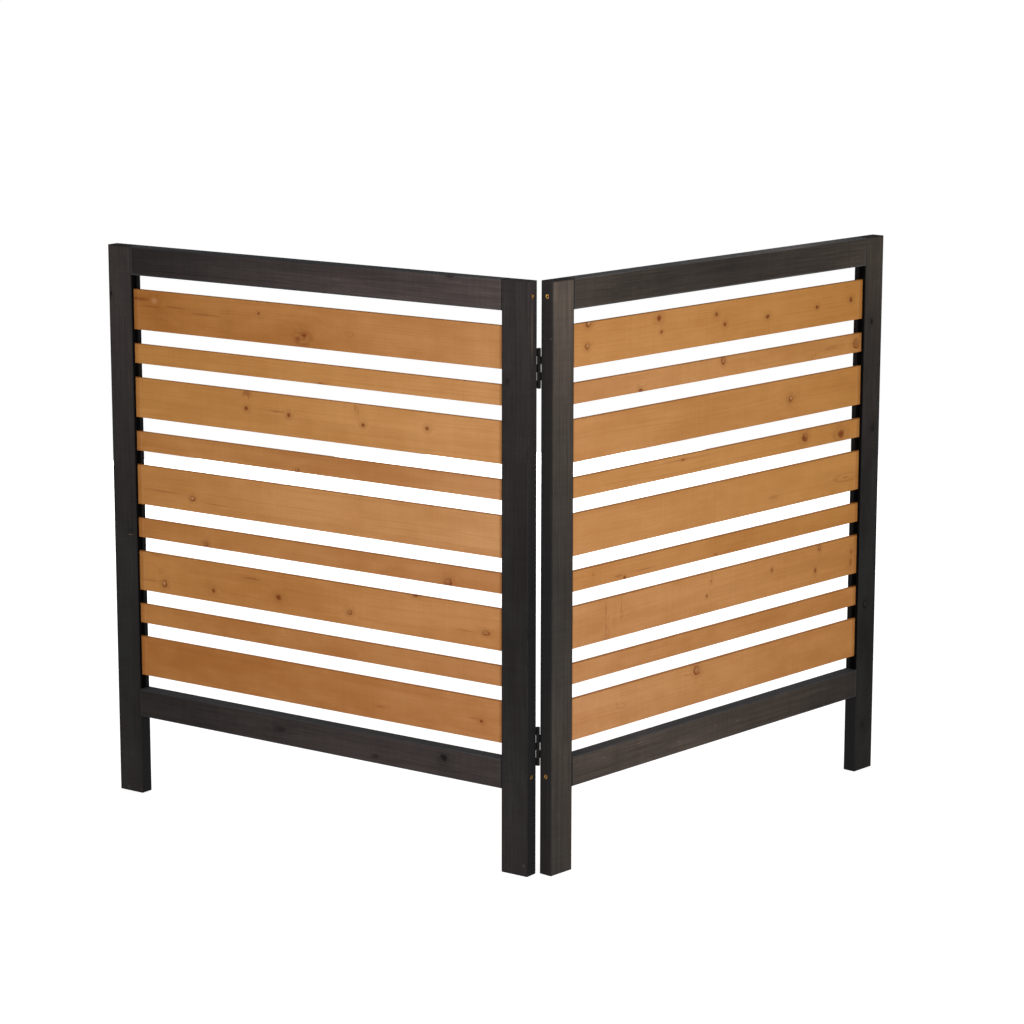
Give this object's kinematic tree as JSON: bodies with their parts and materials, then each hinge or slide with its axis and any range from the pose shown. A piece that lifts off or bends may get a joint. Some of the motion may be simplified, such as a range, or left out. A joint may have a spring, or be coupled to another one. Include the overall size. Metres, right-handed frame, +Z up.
{
  "type": "air conditioner screen",
  "caption": "Free-standing outdoor privacy screen of slatted wooden panels, hinged to fold flat or stand as a V round an air conditioner.",
  "frame": {"origin": "centre of the standing screen's bounding box, on the ground", "axes": "+Z up; the fold lies on the plane X = 0 with the hinged edge towards -Y; one panel runs back to -X and the other to +X"},
  "size_m": [1.3496, 0.5976, 0.965],
  "materials": {
    "frame_wood": "black-brown stain on planed softwood",
    "slat_wood": "honey stain on planed knotty softwood",
    "hinge_steel": "satin black",
    "screw_brass": "dull yellow zinc or brass",
    "brad_steel": "dull"
  },
  "bodies": {
    "left_panel": {"left_outer_stile": "frame_wood", "left_hinge_stile": "frame_wood", "left_top_rail": "frame_wood", "left_bottom_rail": "frame_wood", "left_slat_1": "slat_wood", "left_slat_2": "slat_wood", "left_slat_3": "slat_wood", "left_slat_4": "slat_wood", "left_slat_5": "slat_wood", "left_slat_6": "slat_wood", "left_slat_7": "slat_wood", "left_slat_8": "slat_wood", "left_slat_9": "slat_wood", "left_frame_screws": "screw_brass", "left_slat_brads": "brad_steel", "upper_hinge_left_leaf": "hinge_steel", "upper_hinge_pin": "hinge_steel", "lower_hinge_left_leaf": "hinge_steel", "lower_hinge_pin": "hinge_steel", "left_hinge_screws": "hinge_steel"},
    "right_panel": {"right_outer_stile": "frame_wood", "right_hinge_stile": "frame_wood", "right_top_rail": "frame_wood", "right_bottom_rail": "frame_wood", "right_slat_1": "slat_wood", "right_slat_2": "slat_wood", "right_slat_3": "slat_wood", "right_slat_4": "slat_wood", "right_slat_5": "slat_wood", "right_slat_6": "slat_wood", "right_slat_7": "slat_wood", "right_slat_8": "slat_wood", "right_slat_9": "slat_wood", "right_frame_screws": "screw_brass", "right_slat_brads": "brad_steel", "upper_hinge_right_leaf": "hinge_steel", "lower_hinge_right_leaf": "hinge_steel", "right_hinge_screws": "hinge_steel"}
  },
  "joints": [
    {"name": "fold", "type": "hinge", "parent": "left_panel", "child": "right_panel", "pos_m": [0, -0.27984, 0.213], "axis": [0, 0, 1], "range_deg": [-83, 97]}
  ]
}
